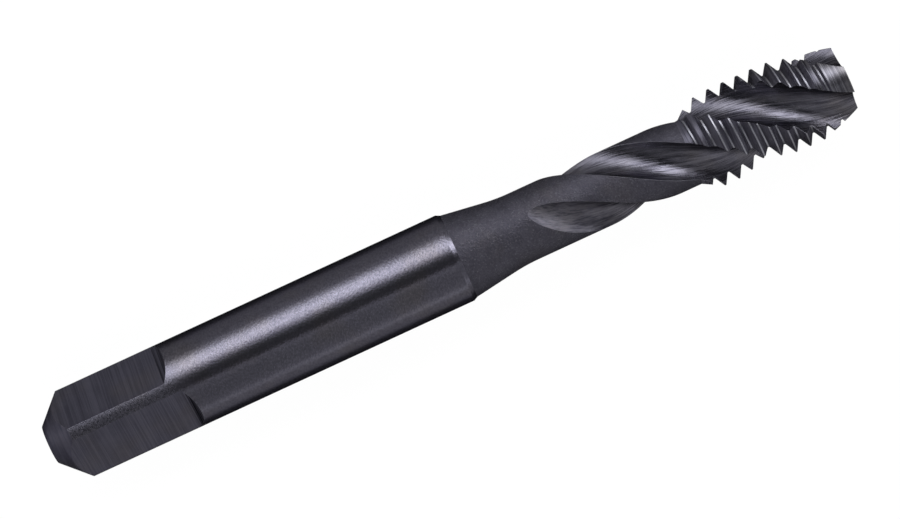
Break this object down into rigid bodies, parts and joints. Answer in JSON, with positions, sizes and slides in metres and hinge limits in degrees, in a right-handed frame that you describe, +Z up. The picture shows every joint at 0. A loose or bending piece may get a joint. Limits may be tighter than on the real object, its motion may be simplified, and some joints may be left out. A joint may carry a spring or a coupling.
{
  "type": "spiral flute tap",
  "caption": "Machine tap for cutting metric threads: ground shank with a square drive end, waisted neck, right-hand spiral flutes and a threaded cutting end with a tapered lead.",
  "frame": {"origin": "below the middle of the tool, on the plane it lies on", "axes": "+X along the tool from the square end to the cutting end, +Z up, away from the plane it lies on"},
  "size_m": [0.056, 0.006, 0.0061],
  "materials": {
    "tool_steel": "steam-oxidised high-speed steel, blue-black, with fine grinding marks"
  },
  "bodies": {
    "root": {"spiral_flute_tap": "tool_steel"}
  },
  "joints": []
}
